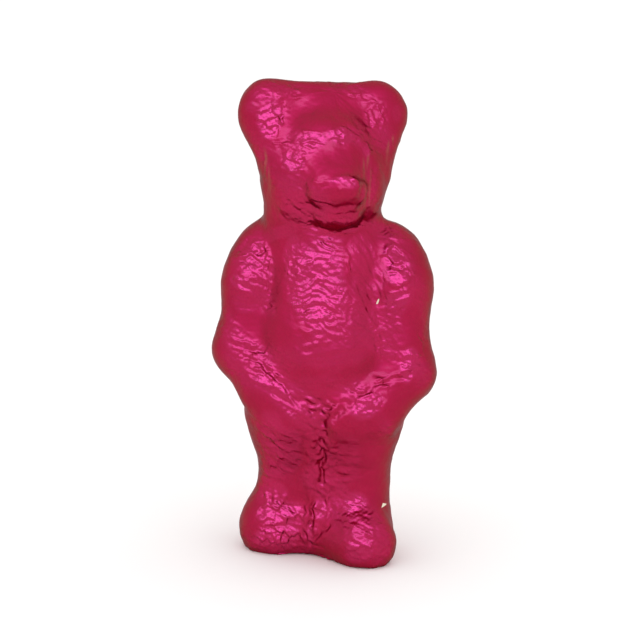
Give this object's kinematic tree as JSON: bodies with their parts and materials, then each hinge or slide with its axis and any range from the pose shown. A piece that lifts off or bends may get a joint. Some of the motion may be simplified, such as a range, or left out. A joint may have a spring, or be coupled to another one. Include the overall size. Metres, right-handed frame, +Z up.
{
  "type": "foil-wrapped chocolate bear",
  "caption": "Standing moulded chocolate teddy bear wrapped in crinkled raspberry-red foil, arms down, hands on its belly, head turned a little to one side.",
  "frame": {"origin": "on the floor, under the middle of the figure's box, level with its flat soles", "axes": "+Z up, the bear faces -Y, +X is the bear's own left side"},
  "size_m": [0.0572, 0.035, 0.1201],
  "materials": {
    "foil": "crinkled raspberry-red lacquered foil"
  },
  "bodies": {
    "root": {"bear": "foil"}
  },
  "joints": []
}
